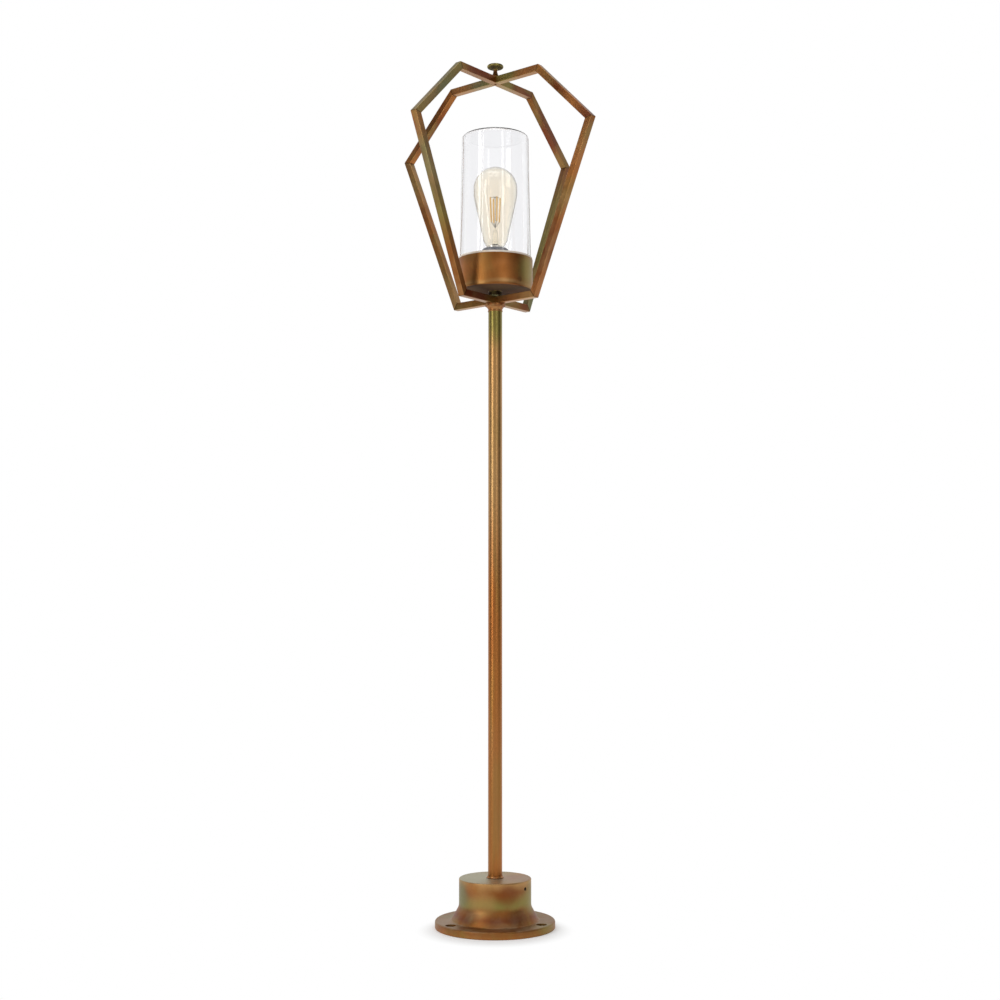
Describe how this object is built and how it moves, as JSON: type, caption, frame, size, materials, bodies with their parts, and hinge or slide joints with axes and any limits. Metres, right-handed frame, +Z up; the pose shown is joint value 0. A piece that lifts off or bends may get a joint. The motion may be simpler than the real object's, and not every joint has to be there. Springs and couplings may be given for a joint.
{
  "type": "lantern floor lamp",
  "caption": "Floor lantern lamp: flanged turned base, slim pole, open cage of crossed square-bar frames round a cup with a glass jar and filament bulb.",
  "frame": {"origin": "middle of the base's underside, on the pole's axis", "axes": "+Z up along the pole; +X along frame X of the cage, +Y along frame Y"},
  "size_m": [0.3532, 0.3532, 1.2409],
  "materials": {
    "aged_brass": "patinated, satin",
    "plain_brass": "turned, bare",
    "steel_screws": "zinc plated",
    "zinc_steel": "zinc plated",
    "clear_glass": "clear, polished",
    "amber_glass": "amber tinted",
    "stem_glass": "clear",
    "nickel_cap": "rolled thread, nickel plated",
    "black_glass": "glassy",
    "phosphor": "silicone coated",
    "bright_wire": "drawn wire",
    "silicone": "translucent, matt",
    "porcelain": "glazed",
    "block_plastic": "moulded",
    "bush_plastic": "moulded",
    "lead_sheath": "matt sheath",
    "core_plastic": "extruded insulation"
  },
  "bodies": {
    "stand": {"base_bell": "aged_brass", "base_cores": "core_plastic", "base_set_screw": "steel_screws", "block_screw": "steel_screws", "bracket_screws": "steel_screws", "cup": "aged_brass", "cup_gasket": "silicone", "cup_nut": "plain_brass", "cup_spacer": "aged_brass", "earth_lug": "zinc_steel", "earth_screw": "steel_screws", "earth_washer": "zinc_steel", "frame_x_bottom_bar": "aged_brass", "frame_x_lower_bar_left": "aged_brass", "frame_x_lower_bar_right": "aged_brass", "frame_x_top_bar": "aged_brass", "frame_x_upper_bar_left": "aged_brass", "frame_x_upper_bar_right": "aged_brass", "frame_y_bottom_bar": "aged_brass", "frame_y_lower_bar_left": "aged_brass", "frame_y_lower_bar_right": "aged_brass", "frame_y_top_bar": "aged_brass", "frame_y_upper_bar_left": "aged_brass", "frame_y_upper_bar_right": "aged_brass", "glass_seat_ring": "silicone", "holder_bracket": "zinc_steel", "holder_cores": "core_plastic", "holder_screws": "steel_screws", "hub_screws": "steel_screws", "internal_lead": "lead_sheath", "lampholder_body": "porcelain", "lampholder_contact": "plain_brass", "lampholder_shell": "plain_brass", "lampholder_terminals": "plain_brass", "pole": "aged_brass", "pole_end_bush": "bush_plastic", "pole_foot_ring": "aged_brass", "pole_hub": "plain_brass", "pole_lock_nut": "plain_brass", "terminal_block": "block_plastic", "terminal_bracket": "zinc_steel", "terminal_screws": "steel_screws", "terminal_sleeves": "plain_brass", "threaded_nipple": "plain_brass", "top_collar": "aged_brass"},
    "jar": {"glass_jar": "clear_glass"},
    "bulb_tip": {"bulb_contact": "plain_brass", "bulb_insulator": "black_glass"},
    "bulb": {"bulb_cap": "nickel_cap", "bulb_glass": "amber_glass", "bulb_stem": "stem_glass", "bulb_filaments": "phosphor", "bulb_supports": "bright_wire"},
    "stud": {"finial_stud": "plain_brass"},
    "knob": {"finial_knob": "aged_brass"}
  },
  "joints": [
    {"name": "jar_lift", "type": "slide", "parent": "stand", "child": "jar", "axis": [0, 0, 1], "range_m": [0, 0.07]},
    {"name": "bulb_rise", "type": "slide", "parent": "stand", "child": "bulb_tip", "axis": [0, 0, 1], "range_m": [0, 0.01453]},
    {"name": "bulb_turn", "type": "hinge", "parent": "bulb_tip", "child": "bulb", "pos_m": [0, 0, 0.96], "axis": [0, 0, 1], "range_deg": [0, 1440]},
    {"name": "stud_rise", "type": "slide", "parent": "stand", "child": "stud", "axis": [0, 0, 1], "range_m": [0, 0.00876]},
    {"name": "knob_turn", "type": "hinge", "parent": "stud", "child": "knob", "pos_m": [0, 0, 1.225], "axis": [0, 0, 1], "range_deg": [0, 4500]}
  ],
  "couplings": [
    {"joint": "bulb_rise", "follows": "bulb_turn", "m_per_rad": 0.00057773},
    {"joint": "stud_rise", "follows": "knob_turn", "m_per_rad": 0.00011141}
  ]
}
